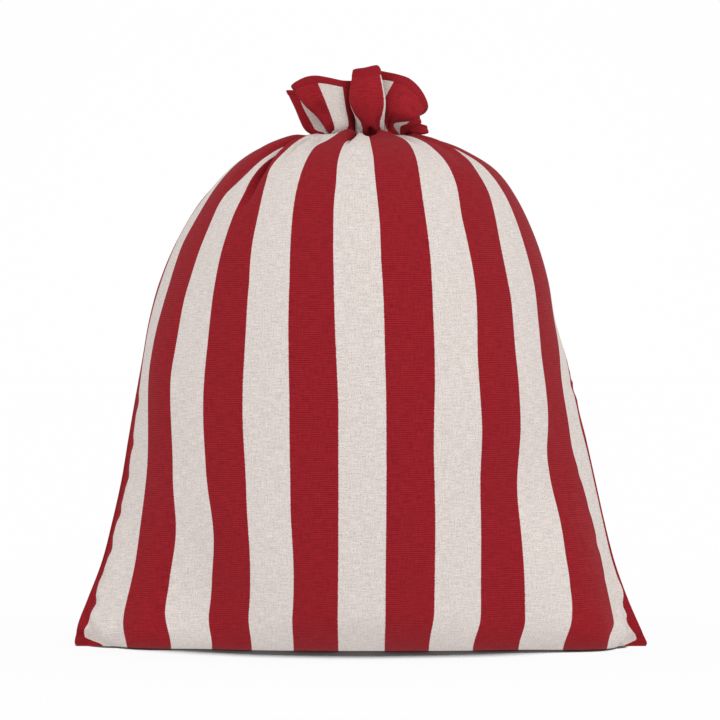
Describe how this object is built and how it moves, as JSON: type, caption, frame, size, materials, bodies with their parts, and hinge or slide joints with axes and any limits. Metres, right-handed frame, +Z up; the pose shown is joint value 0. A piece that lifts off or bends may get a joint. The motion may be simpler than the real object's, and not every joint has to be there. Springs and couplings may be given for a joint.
{
  "type": "santa sack",
  "caption": "Standing canvas gift sack with broad upright stripes, filled out, drawn in at the neck, with a bound ruffle at its mouth.",
  "frame": {"origin": "on the floor, under the middle of the sack", "axes": "+Z up, -Y towards the front panel, +X to the right of someone who faces the front"},
  "size_m": [0.5054, 0.3229, 0.5062],
  "materials": {
    "striped_canvas": "matte woven canvas with red and cream stripes",
    "binding_cloth": "matte plain red"
  },
  "bodies": {
    "root": {"front_panel": "striped_canvas", "back_panel": "striped_canvas", "mouth_binding": "binding_cloth"}
  },
  "joints": []
}
